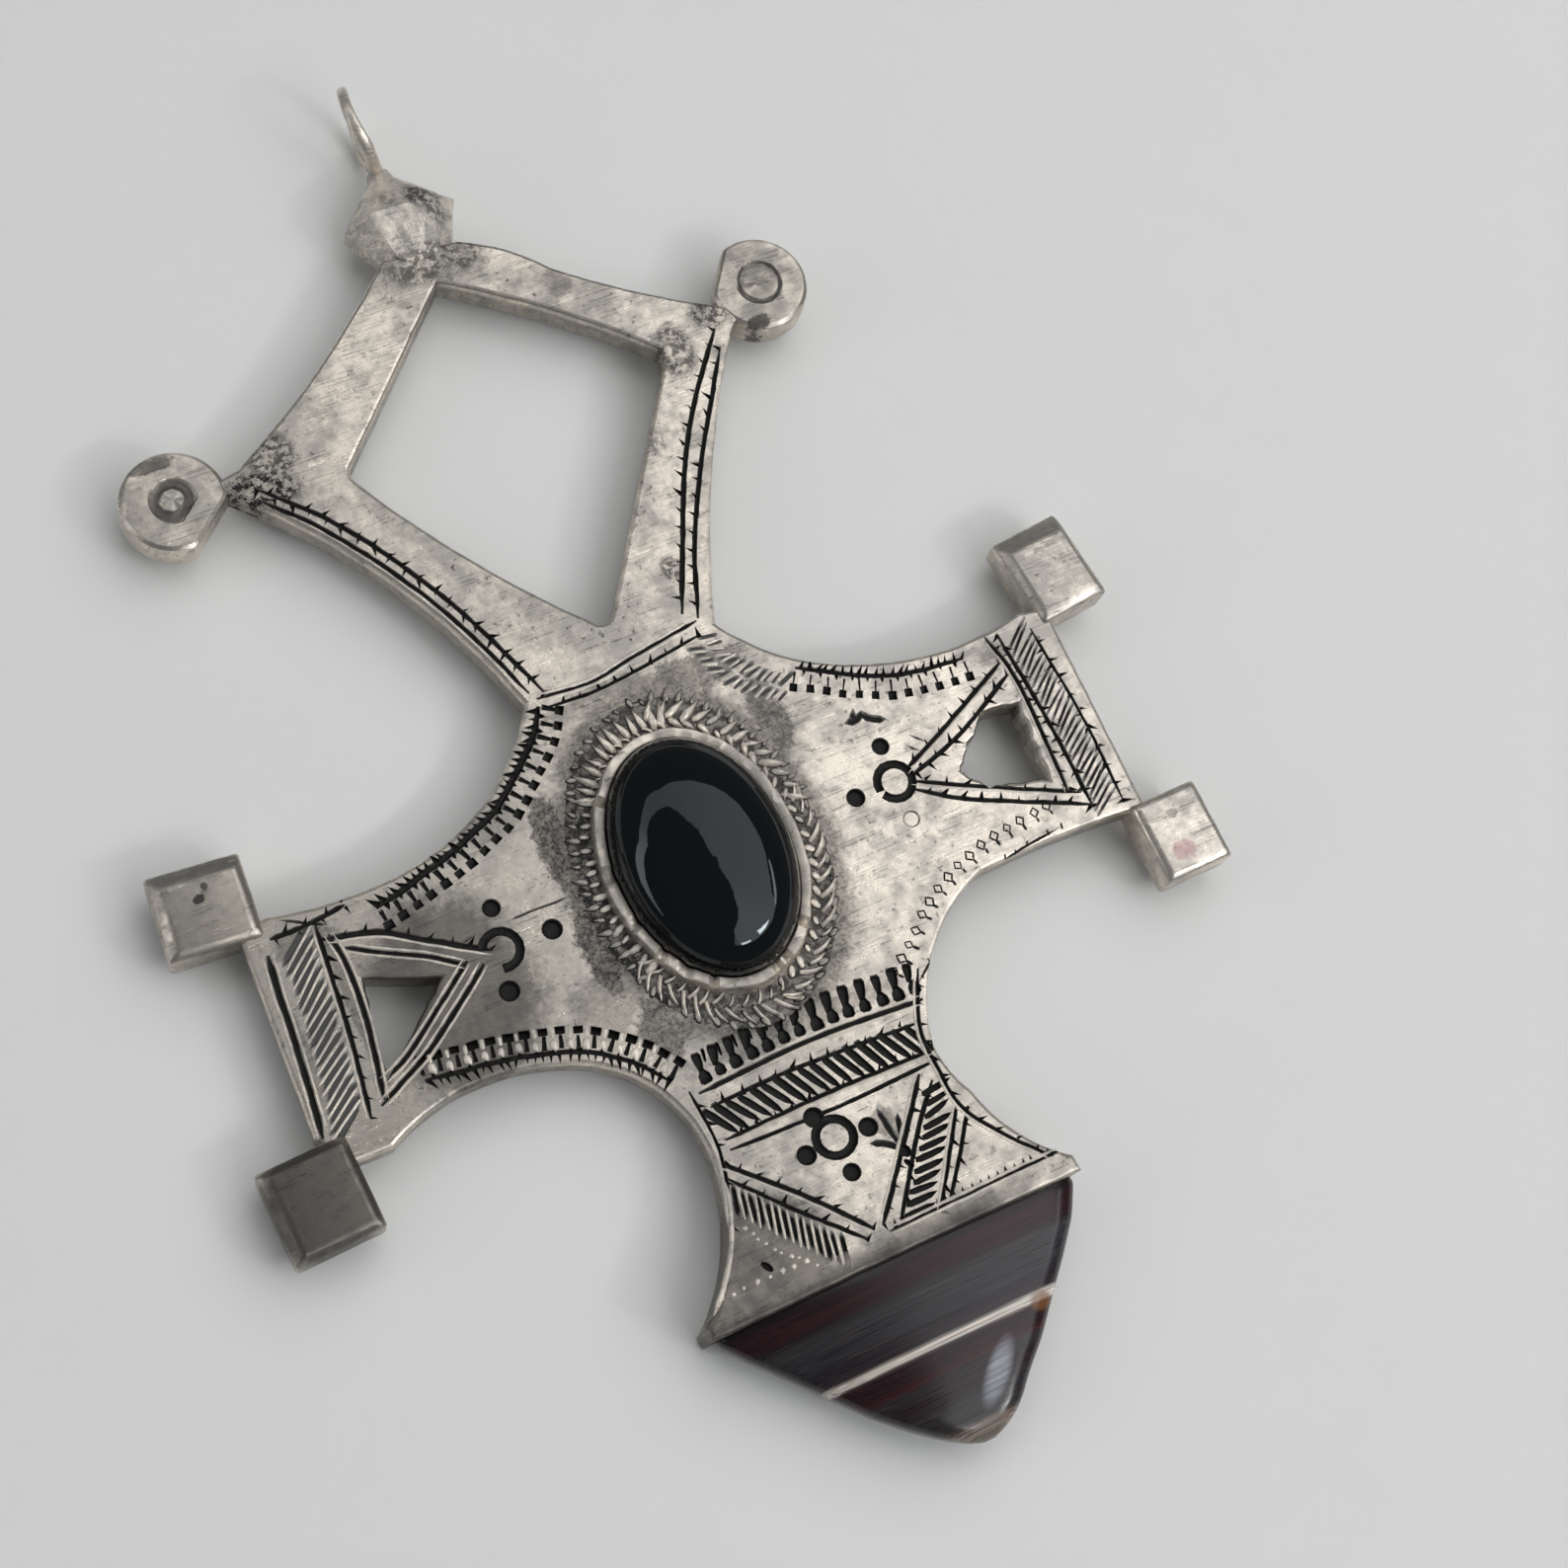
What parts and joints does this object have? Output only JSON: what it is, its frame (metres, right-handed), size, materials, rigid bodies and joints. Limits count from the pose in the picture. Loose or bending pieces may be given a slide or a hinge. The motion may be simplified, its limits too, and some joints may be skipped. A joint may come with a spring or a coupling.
{
  "type": "engraved silver cross pendant",
  "caption": "Engraved silver cross pendant with an open diamond frame, square arm ends, an oval black stone in a chased border, a banded agate tip and a small bail ring.",
  "frame": {"origin": "middle of the bounding box on the surface that the pendant lies on", "axes": "+Y from the agate tip towards the bail ring, +X to the right of the engraved face, +Z out of the engraved face"},
  "size_m": [0.069, 0.1024, 0.0082],
  "materials": {
    "silver": "worn hand-engraved silver, satin, with black oxide in the cuts",
    "ring_silver": "worn plain silver, satin",
    "onyx": "high polish, opaque black",
    "agate": "polished, banded maroon, grey and cream"
  },
  "bodies": {
    "root": {"cross_plate": "silver", "onyx_cabochon": "onyx", "agate_tip": "agate", "bail_ring": "ring_silver"}
  },
  "joints": []
}
